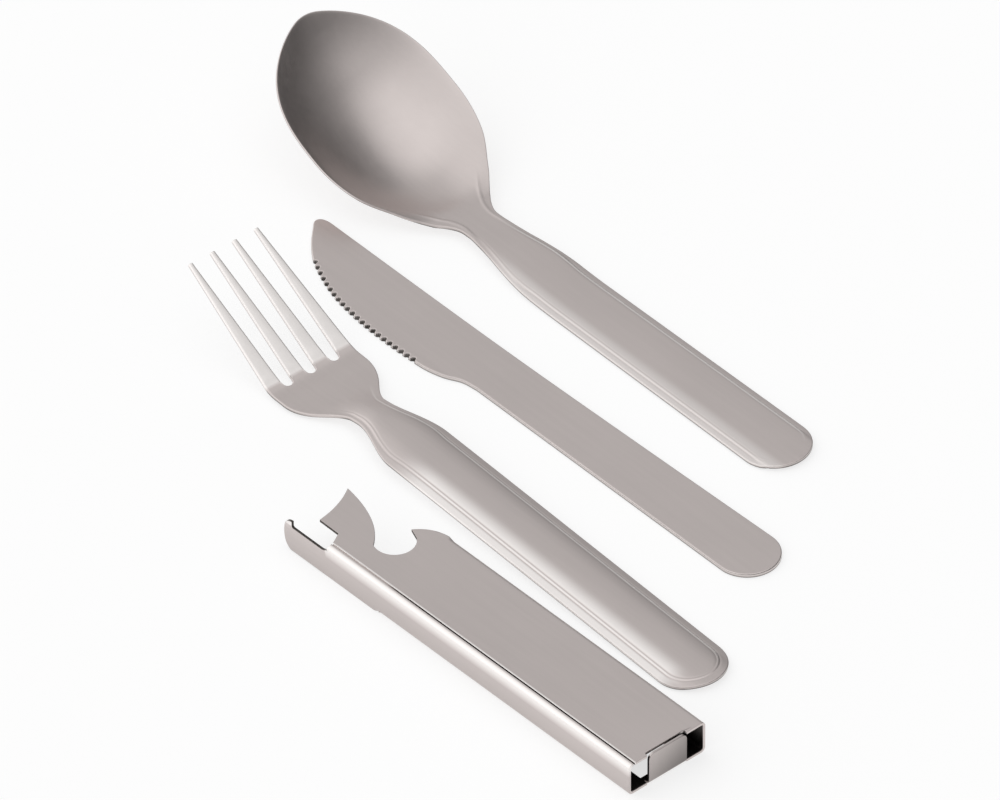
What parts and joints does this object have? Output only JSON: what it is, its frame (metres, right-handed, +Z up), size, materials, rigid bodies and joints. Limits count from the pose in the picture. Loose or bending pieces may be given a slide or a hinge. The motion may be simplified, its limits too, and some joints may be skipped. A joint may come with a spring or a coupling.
{
  "type": "picnic cutlery set",
  "caption": "Nesting pressed-steel picnic spoon, fork and serrated knife laid out beside a folded sheet case with can and bottle opener cut-outs.",
  "frame": {"origin": "middle of the laid-out set, on the table it lies on", "axes": "+Y from the handles to the working ends, +X from the case to the spoon, +Z up"},
  "size_m": [0.1474, 0.2622, 0.0304],
  "materials": {
    "case_steel": "fine brushed stainless sheet, folded",
    "cutlery_steel": "satin pressed stainless sheet",
    "knife_steel": "fine brushed flat stainless sheet"
  },
  "bodies": {
    "case": {"case": "case_steel"},
    "fork": {"fork": "cutlery_steel"},
    "knife": {"knife": "knife_steel"},
    "spoon": {"spoon": "cutlery_steel"}
  },
  "joints": [
    {"name": "fork_lift", "type": "slide", "parent": "case", "child": "fork", "axis": [0, 0, 1], "range_m": [0, 0.1]},
    {"name": "knife_lift", "type": "slide", "parent": "case", "child": "knife", "axis": [0, 0, 1], "range_m": [0, 0.1]},
    {"name": "spoon_lift", "type": "slide", "parent": "case", "child": "spoon", "axis": [0, 0, 1], "range_m": [0, 0.1]}
  ]
}
